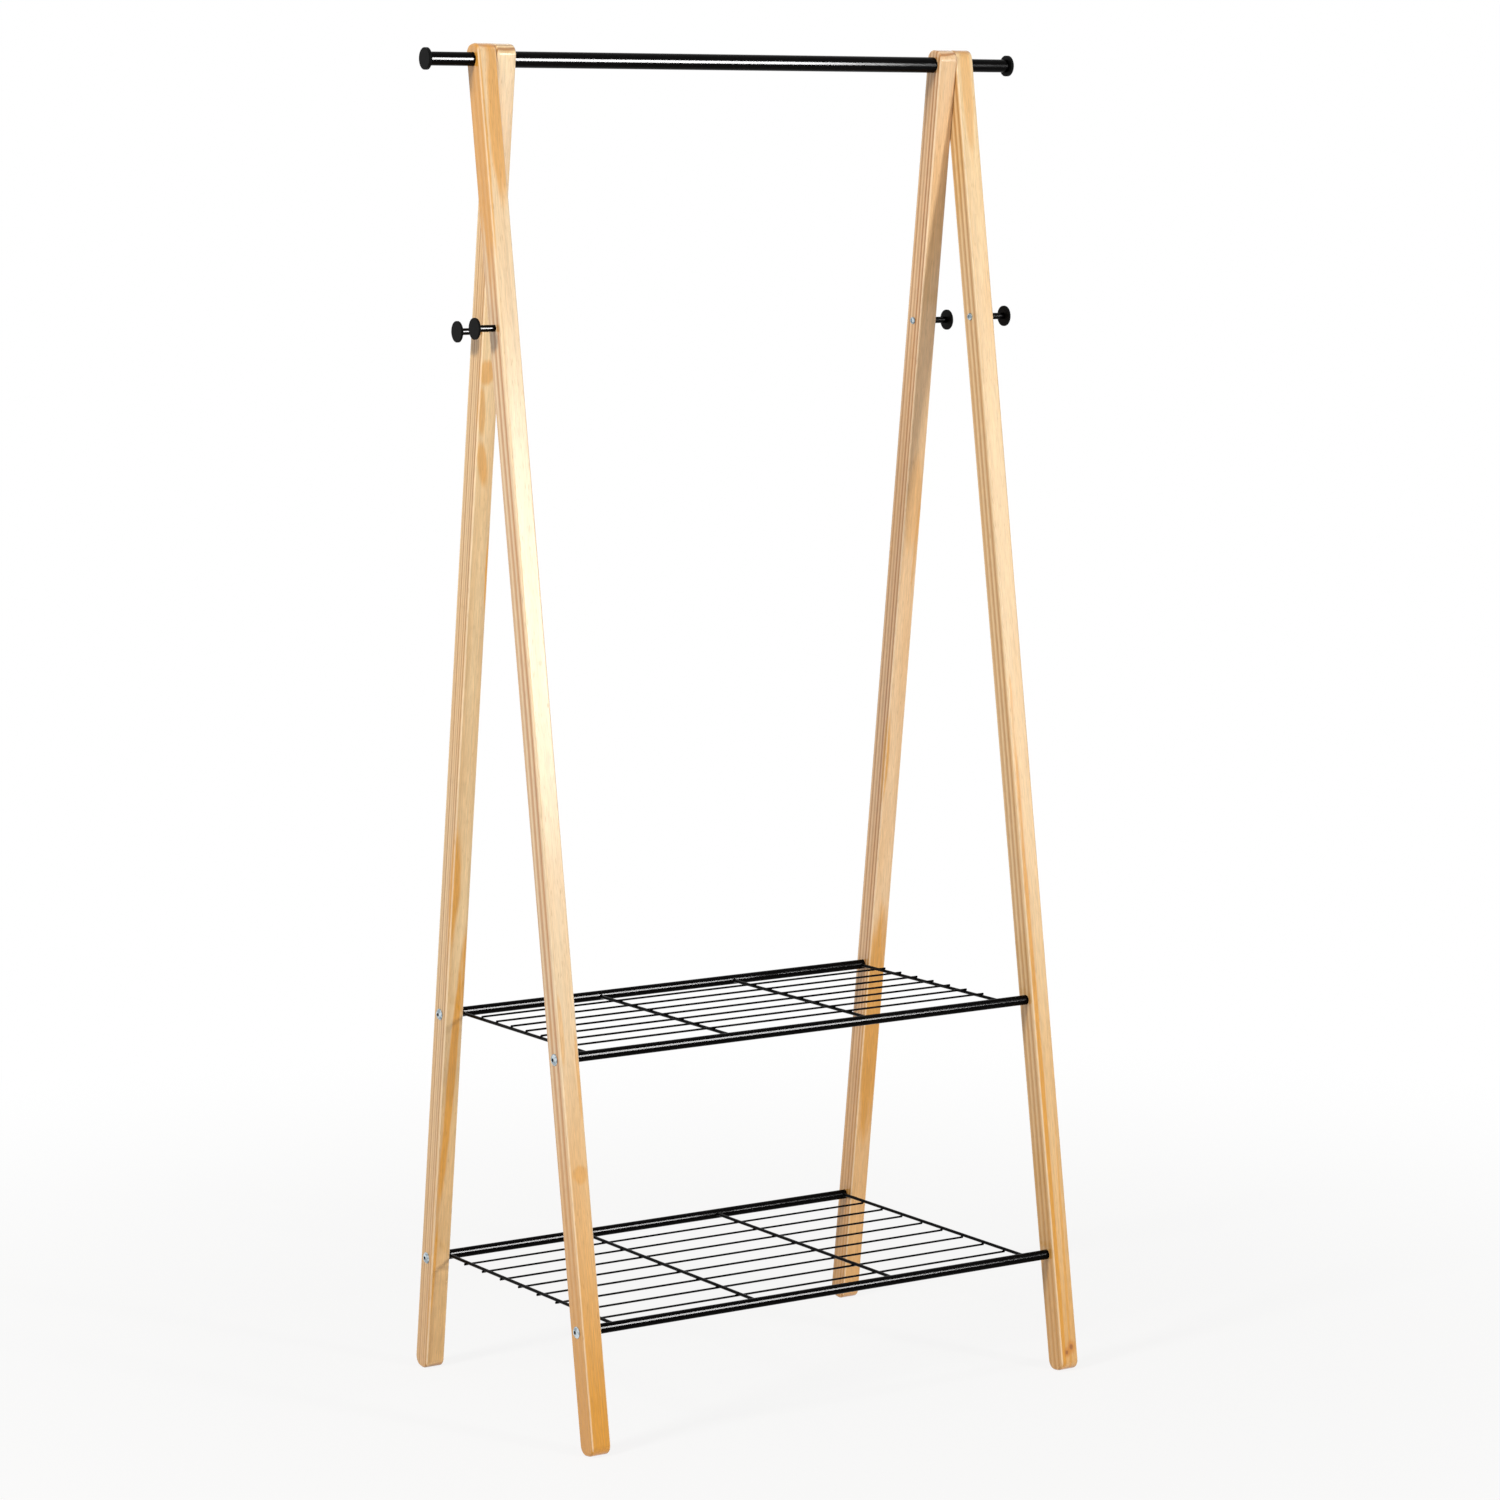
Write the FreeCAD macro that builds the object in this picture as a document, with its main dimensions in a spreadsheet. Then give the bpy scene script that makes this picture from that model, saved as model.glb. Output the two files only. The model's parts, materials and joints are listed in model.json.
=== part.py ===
"""Clothes rack: two pine A-frames, a steel hanging rail, two welded wire shelves and four pegs.

X runs along the rail, +Y points to the back, Z is up. The origin is on the floor, below the
middle of the rail.
"""
import FreeCAD
import Part
import Sketcher
import math
import os

DIMENSIONS = {
    # Legs: pine, a front (outer) and a back (inner) leg at each end of the rail
    "leg_width": 25,
    "leg_depth": 29,
    "leg_edge_radius": 2.5,
    "leg_end_radius": 12,
    "leg_top_rise": 18,
    "foot_flat_depth": 0.7,
    "foot_spread": 226.5,
    "inner_span": 596.5,
    # Hanging rail: steel tube, necked where it runs through the legs
    "rail_height": 1602,
    "rail_diameter": 19,
    "rail_end_diameter": 16,
    "rail_wall": 1.5,
    "rail_shoulder_chamfer": 0.8,
    "rail_overhang": 59.2,
    "rail_cap_diameter": 25.6,
    "rail_cap_thickness": 4,
    "rail_cap_edge_radius": 0.6,
    "rail_cap_plug_length": 14,
    "rail_cap_plug_wall": 1.6,
    # Shelves: two steel tubes each, with a welded wire deck between them
    "upper_shelf_height": 455.5,
    "lower_shelf_height": 142.5,
    "tube_diameter": 12,
    "tube_wall": 1.5,
    "cross_wire_diameter": 4,
    "cross_wire_count": 4,
    "cross_wire_inset": 4,
    "cross_wire_offset": 0.7,
    "long_wire_diameter": 2.5,
    "long_wire_overhang": 2.5,
    "upper_long_wire_count": 7,
    "upper_long_wire_margin": 53.7,
    "lower_long_wire_count": 8,
    "lower_long_wire_margin": 48.8,
    "weld_set_down": 0.3,
    # Shelf bolts and the threaded inserts in the tubes' ends
    "bolt_diameter": 6,
    "bolt_engagement": 16,
    "bolt_head_diameter": 14,
    "bolt_head_height": 2.7,
    "bolt_head_rim": 0.6,
    "bolt_head_flat": 5.6,
    "bolt_socket_width": 4,
    "bolt_socket_depth": 2,
    "insert_length": 22,
    # Pegs: a steel stem with a disc cap, held by a screw through the leg
    "front_peg_drop": 308,
    "back_peg_drop": 314,
    "peg_stem_diameter": 8,
    "peg_stem_length": 24.5,
    "peg_cap_diameter": 25.2,
    "peg_cap_thickness": 2.8,
    "peg_cap_edge_radius": 0.5,
    "peg_spigot_diameter": 4,
    "peg_spigot_length": 8,
    "screw_diameter": 5,
    "screw_engagement": 10,
    "screw_head_diameter": 9,
    "screw_head_height": 2.8,
    "screw_head_rim": 0.5,
    "screw_head_flat": 4.8,
    "screw_slot_width": 1.3,
    "screw_slot_length": 4.4,
    "screw_slot_depth": 1.6,
    # Fits
    "rail_clearance": 0.2,
    "bolt_clearance": 0.25,
    "plug_clearance": 0.1,
    "thread_clearance": 0.05,
    "weld_clearance": 0.05,
    "hole_end_clearance": 1,
}

FRONT, BACK = -1, 1
LEFT, RIGHT = -1, 1
SIDE_NAMES = {LEFT: "left", RIGHT: "right"}
ROW_NAMES = {FRONT: "front", BACK: "back"}
LEGS = [(side, row) for side in (LEFT, RIGHT) for row in (FRONT, BACK)]
X_AXIS = FreeCAD.Vector(1, 0, 0)
Y_AXIS = FreeCAD.Vector(0, 1, 0)
Z_AXIS = FreeCAD.Vector(0, 0, 1)
QUARTER_TURN = 90
FULL_TURN = 360
FLAT_TOLERANCE = 1e-6
# Size that a sketched circle has until its own expression sets it
START_RADIUS = 0.4
# Largest share of a wall that a rounding may take
END_SHARE = 0.49
EDGE_SHARE = 0.4
EDGE_TO_END_SHARE = 0.9

# Expressions shared by several pieces
LEAN = "atan(dims.foot_spread / dims.rail_height)"
LEG_END_RADIUS = f"min(dims.leg_end_radius; dims.leg_depth * {END_SHARE})"
LEG_EDGE_RADIUS = (
    f"min(dims.leg_edge_radius; dims.leg_width * {EDGE_SHARE};"
    f" {LEG_END_RADIUS} * {EDGE_TO_END_SHARE})"
)
RAIL_RADIUS = "dims.rail_diameter / 2"
RAIL_END_RADIUS = "dims.rail_end_diameter / 2"
RAIL_BORE_RADIUS = f"({RAIL_RADIUS} - dims.rail_wall)"
RAIL_END_BORE_RADIUS = f"({RAIL_END_RADIUS} - dims.rail_wall)"
RAIL_HALF_LENGTH = "(dims.inner_span / 2 + 2 * dims.leg_width + dims.rail_overhang)"
TUBE_BORE_RADIUS = "(dims.tube_diameter / 2 - dims.tube_wall)"

doc = FreeCAD.newDocument("clothes_rack")
sheet = doc.addObject("Spreadsheet::Sheet", "dims")
for row_number, (alias, value) in enumerate(DIMENSIONS.items(), start=1):
    sheet.set(f"A{row_number}", alias)
    sheet.set(f"B{row_number}", str(value))
    sheet.setAlias(f"B{row_number}", alias)
doc.recompute()

nodes = []


def count_of(alias):
    """Return a whole-number cell of the sheet."""
    return int(round(sheet.get(alias)))


def leg_y(row, height):
    """Expression for a leg's centre line: its Y at a height above the floor."""
    return f"({row}) * dims.foot_spread * (1 - ({height}) / dims.rail_height)"


def peg_drop(row):
    """Expression for the height of the rail above a leg's peg."""
    return f"dims.{ROW_NAMES[row]}_peg_drop"


def peg_height(row):
    """Expression for the height of a leg's peg above the floor."""
    return f"(dims.rail_height - {peg_drop(row)})"


def inner_face_x(side, row):
    """Expression for the X of a leg's face that looks towards the middle of the rack."""
    legs_between = 1 if row == FRONT else 0
    return f"({side}) * (dims.inner_span / 2 + {legs_between} * dims.leg_width)"


def outer_face_x(side, row):
    """Expression for the X of a leg's face that looks outwards."""
    return f"({inner_face_x(side, row)} + ({side}) * dims.leg_width)"


def register(piece, label):
    """Label a finished piece as a node of the assembly."""
    piece.Label = label
    nodes.append(piece)
    return piece


def place(piece, x="0", y="0", z="0", axis=None, angle=0.0):
    """Put a piece at bound coordinates, turned by a fixed angle about an axis."""
    if axis is not None:
        piece.Placement = FreeCAD.Placement(FreeCAD.Vector(), FreeCAD.Rotation(axis, angle))
    piece.setExpression("Placement.Base.x", x)
    piece.setExpression("Placement.Base.y", y)
    piece.setExpression("Placement.Base.z", z)


def origin_plane(body, role):
    """Return one of a body's own origin planes."""
    return next(plane for plane in body.Origin.OriginFeatures if plane.Role == role)


def new_sketch(body, name, role):
    """Start a sketch on one of the body's own origin planes."""
    sketch = body.newObject("Sketcher::SketchObject", name)
    sketch.AttachmentSupport = [(origin_plane(body, role), "")]
    sketch.MapMode = "FlatFace"
    return sketch


def draw_outline(sketch, corners):
    """Draw a closed outline counter-clockwise.

    A corner is a pair of expressions. A third one is the radius of an arc that bulges outwards on
    its way to the next corner.
    """
    total = len(corners)
    ring = [FreeCAD.Vector(*[value_of(sketch, text) for text in corner[:2]]) for corner in corners]
    for index, corner in enumerate(corners):
        start, end = ring[index], ring[(index + 1) % total]
        if len(corner) == 2:
            sketch.addGeometry(Part.LineSegment(start, end))
        else:
            sketch.addGeometry(outward_arc(start, end, value_of(sketch, corner[2])))
    for index in range(total):
        sketch.addConstraint(Sketcher.Constraint("Coincident", index, 2, (index + 1) % total, 1))
    for index, (across, along, *radius) in enumerate(corners):
        for kind, letter, expression in (("DistanceX", "x", across), ("DistanceY", "y", along)):
            name = f"{letter}{index}"
            place_now = value_of(sketch, expression)
            number = sketch.addConstraint(Sketcher.Constraint(kind, -1, 1, index, 1, place_now))
            sketch.renameConstraint(number, name)
            sketch.setExpression(f"Constraints.{name}", expression)
        if radius:
            number = sketch.addConstraint(Sketcher.Constraint("Radius", index, value_of(sketch, *radius)))
            sketch.renameConstraint(number, f"radius{index}")
            sketch.setExpression(f"Constraints.radius{index}", *radius)


def value_of(piece, expression):
    """Return the number that an expression gives now."""
    return float(piece.evalExpression(expression))


def outward_arc(start, end, radius):
    """Arc from start to end, counter-clockwise about a centre on the left of that way."""
    chord = end - start
    left = Z_AXIS.cross(chord).normalize()
    to_centre = (radius**2 - (chord.Length / 2) ** 2) ** 0.5
    centre = (start + end) / 2 + left * to_centre
    angles = [math.atan2(point.y - centre.y, point.x - centre.x) for point in (start, end)]
    return Part.ArcOfCircle(Part.Circle(centre, Z_AXIS, radius), *angles)


def dome_radius(flat, rim, height):
    """Expression for the radius of a dome that leaves its flat top level and drops to its rim."""
    return f"((({rim}) - ({flat}))^2 + ({height})^2) / (2 * ({height}))"


def turned_body(name, corners):
    """Turn a half section, given as (radius, height) expressions, about the body's own Z."""
    body = doc.addObject("PartDesign::Body", name)
    sketch = new_sketch(body, f"{name}_section", "XZ_Plane")
    draw_outline(sketch, corners)
    turn = body.newObject("PartDesign::Revolution", f"{name}_turn")
    turn.Profile = sketch
    turn.ReferenceAxis = (sketch, ["V_Axis"])
    turn.Angle = FULL_TURN
    return body


def cylinder(name, radius, length):
    """Make a plain cylinder along its own Z with bound sizes."""
    piece = doc.addObject("Part::Cylinder", name)
    piece.setExpression("Radius", radius)
    piece.setExpression("Height", length)
    return piece


def cut(name, base, tool):
    """Cut one shape from another."""
    piece = doc.addObject("Part::Cut", name)
    piece.Base = base
    piece.Tool = tool
    return piece


def group(name, pieces):
    """Hold identical loose pieces together as one node."""
    holder = doc.addObject("Part::Compound", name)
    holder.Links = pieces
    return register(holder, name)


def make_leg(side, row):
    """One leg: rounded pine bar with a rail bore, two bolt holes, a peg hole and a flat foot.

    The leg is drawn upright with the rail bore at its origin, then leant about the rail.
    """
    name = f"{SIDE_NAMES[side]}_{ROW_NAMES[row]}_leg"
    body = doc.addObject("PartDesign::Body", name)
    half = "dims.leg_depth / 2"
    corner_drop = f"(({half} - {LEG_END_RADIUS}) * sin({LEAN}))"
    below = (
        f"((dims.rail_height + dims.foot_flat_depth - {LEG_END_RADIUS} - {corner_drop})"
        f" / cos({LEAN}) + {LEG_END_RADIUS})"
    )
    outline = new_sketch(body, f"{name}_outline", "YZ_Plane")
    draw_outline(outline, [
        (f"-{half}", f"-{below}"),
        (half, f"-{below}"),
        (half, "dims.leg_top_rise"),
        (f"-{half}", "dims.leg_top_rise"),
    ])
    bar = body.newObject("PartDesign::Pad", f"{name}_bar")
    bar.Profile = outline
    bar.setExpression("Length", "dims.leg_width")
    doc.recompute()

    rounded = round_edges(body, bar, f"{name}_ends", LEG_END_RADIUS, across_ends)
    round_edges(body, rounded, f"{name}_edges", LEG_EDGE_RADIUS, on_side_faces)

    drilling = new_sketch(body, f"{name}_drilling", "YZ_Plane")
    bolt_radius = "dims.bolt_diameter / 2 + dims.bolt_clearance"
    drill(drilling, "rail", "0", f"{RAIL_END_RADIUS} + dims.rail_clearance")
    drill(drilling, "peg", peg_drop(row), "dims.screw_diameter / 2 + dims.bolt_clearance")
    drill(drilling, "upper", "dims.rail_height - dims.upper_shelf_height", bolt_radius)
    drill(drilling, "lower", "dims.rail_height - dims.lower_shelf_height", bolt_radius)
    cut_through(body, drilling, f"{name}_holes")

    floor = new_sketch(body, f"{name}_floor", "YZ_Plane")
    reach = "dims.leg_depth"
    near_floor = f"-(dims.rail_height + ({row}) * {reach} * sin({LEAN})) / cos({LEAN})"
    far_floor = f"-(dims.rail_height - ({row}) * {reach} * sin({LEAN})) / cos({LEAN})"
    draw_outline(floor, [
        (f"-{reach}", far_floor),
        (f"-{reach}", f"-({below} + {reach})"),
        (reach, f"-({below} + {reach})"),
        (reach, near_floor),
    ])
    cut_through(body, floor, f"{name}_foot")

    low_x = outer_face_x(side, row) if side == LEFT else inner_face_x(side, row)
    place(body, x=low_x, z="dims.rail_height", axis=X_AXIS, angle=1.0)
    body.setExpression("Placement.Rotation.Angle", f"({row}) * {LEAN}")
    return register(body, name)


def across_ends(edge):
    """True for the four straight edges at a bar's ends that run across its width."""
    box = edge.BoundBox
    return box.XLength > max(box.YLength, box.ZLength)


def on_side_faces(edge):
    """True for the edges that go round the bar's two side faces."""
    return edge.BoundBox.XLength < FLAT_TOLERANCE


def round_edges(body, base, name, radius, wanted):
    """Round the edges of a feature that a test picks out."""
    fillet = body.newObject("PartDesign::Fillet", name)
    edges = enumerate(base.Shape.Edges, start=1)
    fillet.Base = (base, [f"Edge{number}" for number, edge in edges if wanted(edge)])
    fillet.setExpression("Radius", radius)
    doc.recompute()
    return fillet


def drill(sketch, name, drop, radius):
    """Add a circle on the leg's centre line, at a vertical drop below the rail."""
    centre = FreeCAD.Vector(0, -len(sketch.Geometry), 0)
    number = sketch.addGeometry(Part.Circle(centre, Z_AXIS, START_RADIUS))
    sketch.addConstraint(Sketcher.Constraint("PointOnObject", number, 3, -2))
    height = sketch.addConstraint(Sketcher.Constraint("DistanceY", -1, 1, number, 3, -1.0))
    sketch.renameConstraint(height, f"{name}_height")
    sketch.setExpression(f"Constraints.{name}_height", f"-({drop}) / cos({LEAN})")
    size = sketch.addConstraint(Sketcher.Constraint("Radius", number, START_RADIUS))
    sketch.renameConstraint(size, f"{name}_radius")
    sketch.setExpression(f"Constraints.{name}_radius", radius)


def cut_through(body, sketch, name):
    """Pocket a sketch through the whole body, and make sure that it removed something."""
    doc.recompute()
    before = body.Shape.Volume
    pocket = body.newObject("PartDesign::Pocket", name)
    pocket.Profile = sketch
    pocket.Type = "ThroughAll"
    pocket.Reversed = True
    doc.recompute()
    if body.Shape.Volume >= before:
        raise RuntimeError(f"{name} removed nothing")


def make_rail():
    """Hanging rail: one tube with square shoulders against the inner legs and necked ends."""
    shoulder = "dims.inner_span / 2"
    chamfer = "dims.rail_shoulder_chamfer"
    neck_bore = f"({shoulder} - dims.rail_wall)"
    half = [
        (RAIL_RADIUS, f"{shoulder} - {chamfer}"),
        (f"{RAIL_RADIUS} - {chamfer}", shoulder),
        (RAIL_END_RADIUS, shoulder),
        (RAIL_END_RADIUS, RAIL_HALF_LENGTH),
        (RAIL_END_BORE_RADIUS, RAIL_HALF_LENGTH),
        (RAIL_END_BORE_RADIUS, neck_bore),
        (RAIL_BORE_RADIUS, f"{neck_bore} - {chamfer}"),
    ]
    mirrored = [(radius, f"-({height})") for radius, height in reversed(half)]
    body = turned_body("hanging_rail", half + mirrored)
    place(body, z="dims.rail_height", axis=Y_AXIS, angle=QUARTER_TURN)
    register(body, "hanging_rail")


def make_rail_cap(side):
    """Disc cap with a hollow plug that sits in the rail's end."""
    name = f"{SIDE_NAMES[side]}_rail_cap"
    plug = f"({RAIL_END_BORE_RADIUS} - dims.plug_clearance)"
    disc = "dims.rail_cap_diameter / 2"
    edge = "dims.rail_cap_edge_radius"
    body = turned_body(name, [
        ("0", "0"),
        (f"{plug} - dims.rail_cap_plug_wall", "0"),
        (f"{plug} - dims.rail_cap_plug_wall", "-dims.rail_cap_plug_length"),
        (plug, "-dims.rail_cap_plug_length"),
        (plug, "0"),
        (disc, "0"),
        (disc, f"dims.rail_cap_thickness - {edge}", edge),
        (f"{disc} - {edge}", "dims.rail_cap_thickness"),
        ("0", "dims.rail_cap_thickness"),
    ])
    end_x = f"({side}) * {RAIL_HALF_LENGTH}"
    place(body, x=end_x, z="dims.rail_height", axis=Y_AXIS, angle=side * QUARTER_TURN)
    register(body, name)


def make_tube(level, row):
    """Shelf tube between the inner faces of two legs."""
    name = f"{level}_{ROW_NAMES[row]}_tube"
    height = f"dims.{level}_shelf_height"
    half = inner_face_x(RIGHT, row)
    body = turned_body(name, [
        ("dims.tube_diameter / 2", f"-({half})"),
        ("dims.tube_diameter / 2", half),
        (TUBE_BORE_RADIUS, half),
        (TUBE_BORE_RADIUS, f"-({half})"),
    ])
    place(body, y=leg_y(row, height), z=height, axis=Y_AXIS, angle=QUARTER_TURN)
    register(body, name)


def make_insert(level, side, row):
    """Threaded insert, flush with one end of a shelf tube."""
    height = f"dims.{level}_shelf_height"
    outer = f"{TUBE_BORE_RADIUS} - dims.plug_clearance"
    inner = "dims.bolt_diameter / 2 + dims.thread_clearance"
    body = turned_body(f"{level}_{SIDE_NAMES[side]}_{ROW_NAMES[row]}_insert", [
        (inner, "0"),
        (outer, "0"),
        (outer, "dims.insert_length"),
        (inner, "dims.insert_length"),
    ])
    place(body, inner_face_x(side, row), leg_y(row, height), height, Y_AXIS, -side * QUARTER_TURN)
    return body


def make_bolt(level, side, row):
    """Shelf bolt: low domed head with a hexagon socket, through the leg into the insert."""
    name = f"{level}_{SIDE_NAMES[side]}_{ROW_NAMES[row]}_bolt"
    height = f"dims.{level}_shelf_height"
    head = "dims.bolt_head_diameter / 2"
    shank = "dims.bolt_diameter / 2"
    tip = "dims.leg_width + dims.bolt_engagement"
    flat = "dims.bolt_head_flat / 2"
    dome = dome_radius(flat, head, "dims.bolt_head_height - dims.bolt_head_rim")
    body = turned_body(name, [
        ("0", "-dims.bolt_head_height"),
        (flat, "-dims.bolt_head_height", dome),
        (head, "-dims.bolt_head_rim"),
        (head, "0"),
        (shank, "0"),
        (shank, tip),
        ("0", tip),
    ])
    socket = body.newObject("PartDesign::SubtractivePrism", f"{name}_socket")
    socket.Polygon = 6
    socket.setExpression("Circumradius", "dims.bolt_socket_width / sqrt(3)")
    socket.setExpression("Height", "dims.bolt_socket_depth")
    socket.AttachmentSupport = [(origin_plane(body, "XY_Plane"), "")]
    socket.MapMode = "FlatFace"
    socket.setExpression("AttachmentOffset.Base.z", "-dims.bolt_head_height")
    place(body, outer_face_x(side, row), leg_y(row, height), height, Y_AXIS, -side * QUARTER_TURN)
    return body


def make_peg(side, row):
    """Peg on a leg's outer face: a drilled stem and a disc cap with a spigot."""
    name = f"{SIDE_NAMES[side]}_{ROW_NAMES[row]}_peg"
    face = outer_face_x(side, row)
    height = peg_height(row)
    centre_y = leg_y(row, height)
    stem = "dims.peg_stem_diameter / 2"
    length = "dims.peg_stem_length"
    thread = "dims.screw_diameter / 2 + dims.thread_clearance"
    thread_end = "dims.screw_engagement + dims.hole_end_clearance"
    socket = "dims.peg_spigot_diameter / 2 + dims.plug_clearance"
    socket_end = f"{length} - dims.peg_spigot_length - dims.hole_end_clearance"
    body = turned_body(f"{name}_stem", [
        ("0", thread_end),
        (thread, thread_end),
        (thread, "0"),
        (stem, "0"),
        (stem, length),
        (socket, length),
        (socket, socket_end),
        ("0", socket_end),
    ])
    place(body, face, centre_y, height, Y_AXIS, side * QUARTER_TURN)
    register(body, f"{name}_stem")

    disc = "dims.peg_cap_diameter / 2"
    edge = "dims.peg_cap_edge_radius"
    spigot = "dims.peg_spigot_diameter / 2"
    cap = turned_body(f"{name}_cap", [
        ("0", "-dims.peg_spigot_length"),
        (spigot, "-dims.peg_spigot_length"),
        (spigot, "0"),
        (f"{disc} - {edge}", "0", edge),
        (disc, edge),
        (disc, f"dims.peg_cap_thickness - {edge}", edge),
        (f"{disc} - {edge}", "dims.peg_cap_thickness"),
        ("0", "dims.peg_cap_thickness"),
    ])
    place(cap, f"{face} + ({side}) * {length}", centre_y, height, Y_AXIS, side * QUARTER_TURN)
    register(cap, f"{name}_cap")


def make_screw(side, row):
    """Pan-head screw from a leg's inner face into the peg stem, with a cross recess."""
    name = f"{SIDE_NAMES[side]}_{ROW_NAMES[row]}_screw"
    head = "dims.screw_head_diameter / 2"
    shank = "dims.screw_diameter / 2"
    tip = "dims.leg_width + dims.screw_engagement"
    flat = "dims.screw_head_flat / 2"
    dome = dome_radius(flat, head, "dims.screw_head_height - dims.screw_head_rim")
    body = turned_body(name, [
        ("0", "-dims.screw_head_height"),
        (flat, "-dims.screw_head_height", dome),
        (head, "-dims.screw_head_rim"),
        (head, "0"),
        (shank, "0"),
        (shank, tip),
        ("0", tip),
    ])
    slot_sizes = ("dims.screw_slot_length", "dims.screw_slot_width")
    for turn, (length, width) in enumerate((slot_sizes, slot_sizes[::-1]), start=1):
        slot = body.newObject("PartDesign::SubtractiveBox", f"{name}_slot_{turn}")
        slot.setExpression("Length", length)
        slot.setExpression("Width", width)
        slot.setExpression("Height", "dims.screw_slot_depth")
        slot.AttachmentSupport = [(origin_plane(body, "XY_Plane"), "")]
        slot.MapMode = "FlatFace"
        slot.setExpression("AttachmentOffset.Base.x", f"-{length} / 2")
        slot.setExpression("AttachmentOffset.Base.y", f"-{width} / 2")
        slot.setExpression("AttachmentOffset.Base.z", "-dims.screw_head_height")
    height = peg_height(row)
    place(body, inner_face_x(side, row), leg_y(row, height), height, Y_AXIS, side * QUARTER_TURN)
    return body


def make_deck(level, long_side):
    """Welded wire deck: cross wires coped onto the tubes, long wires set into the cross wires.

    The long wires lie on the cross wires' upper side (long_side 1) or lower side (-1).
    """
    height = f"dims.{level}_shelf_height"
    cross_height = f"({height} - ({long_side}) * dims.cross_wire_offset)"
    cross_radius = "dims.cross_wire_diameter / 2"
    long_radius = "dims.long_wire_diameter / 2"
    tube_y = leg_y(BACK, height)
    end_x = "(dims.inner_span / 2 - dims.cross_wire_inset)"

    copes = []
    for row in (FRONT, BACK):
        cope = cylinder(
            f"{level}_{ROW_NAMES[row]}_cope",
            "dims.tube_diameter / 2 + dims.weld_clearance",
            f"2 * {inner_face_x(RIGHT, row)}",
        )
        place(cope, f"-({inner_face_x(RIGHT, row)})", leg_y(row, height), height, Y_AXIS, QUARTER_TURN)
        copes.append(cope)
    tubes = doc.addObject("Part::Compound", f"{level}_copes")
    tubes.Links = copes

    saddles = []
    cross_count = count_of("cross_wire_count")
    for index in range(cross_count):
        wire_x = f"{end_x} * (2 * {index} / {cross_count - 1} - 1)"
        name = f"{level}_cross_wire_{index + 1}"
        rod = cylinder(f"{name}_rod", cross_radius, f"2 * {tube_y}")
        place(rod, wire_x, tube_y, cross_height, X_AXIS, QUARTER_TURN)
        register(cut(name, rod, tubes), name)
        saddle = cylinder(f"{name}_saddle", f"{cross_radius} + dims.weld_clearance", f"2 * {tube_y}")
        place(saddle, wire_x, tube_y, cross_height, X_AXIS, QUARTER_TURN)
        saddles.append(saddle)
    seats = doc.addObject("Part::Compound", f"{level}_saddles")
    seats.Links = saddles

    long_count = count_of(f"{level}_long_wire_count")
    reach = f"({tube_y} - dims.{level}_long_wire_margin)"
    seat_height = f"({cross_radius} + {long_radius} - dims.weld_set_down)"
    long_height = f"{cross_height} + ({long_side}) * {seat_height}"
    start_x = f"-{end_x}" if long_side > 0 else f"-{end_x} - dims.long_wire_overhang"
    for index in range(long_count):
        wire_y = f"{reach} * (1 - 2 * {index} / {long_count - 1})"
        name = f"{level}_long_wire_{index + 1}"
        rod = cylinder(f"{name}_rod", long_radius, f"2 * {end_x} + dims.long_wire_overhang")
        place(rod, start_x, wire_y, long_height, Y_AXIS, QUARTER_TURN)
        register(cut(name, rod, seats), name)


def check(piece):
    """Stop if a piece failed to build."""
    if "Invalid" in piece.State or "Error" in piece.State:
        raise RuntimeError(f"{piece.Label} failed: {piece.State}")
    if piece.TypeId.startswith(("Part::", "PartDesign::Body")):
        if piece.Shape.isNull() or not piece.Shape.isValid():
            raise RuntimeError(f"{piece.Label} has no valid shape")


for leg_side, leg_row in LEGS:
    make_leg(leg_side, leg_row)
    make_peg(leg_side, leg_row)
make_rail()
for cap_side in (LEFT, RIGHT):
    make_rail_cap(cap_side)
for shelf_level, shelf_long_side in (("upper", 1), ("lower", -1)):
    for tube_row in (FRONT, BACK):
        make_tube(shelf_level, tube_row)
    make_deck(shelf_level, shelf_long_side)
    group(f"{shelf_level}_tube_inserts", [make_insert(shelf_level, *leg) for leg in LEGS])
    group(f"{shelf_level}_shelf_bolts", [make_bolt(shelf_level, *leg) for leg in LEGS])
group("peg_screws", [make_screw(*leg) for leg in LEGS])
doc.recompute()

for item in doc.Objects:
    check(item)
os.makedirs("parts", exist_ok=True)
for node in nodes:
    node.Shape.exportStep(f"parts/{node.Label}.step")
    print(f"{node.Label}: {len(node.Shape.Solids)} solid(s), {node.Shape.Volume:.1f} mm3")
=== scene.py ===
"""Looks of the clothes rack: pine A-frames, black rail, welded wire shelves and pegs, in a studio."""

import json
import logging
import math
from dataclasses import dataclass
from enum import Enum
from typing import Any, Optional, Sequence, Union

import bpy
from mathutils import Matrix, Vector

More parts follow.
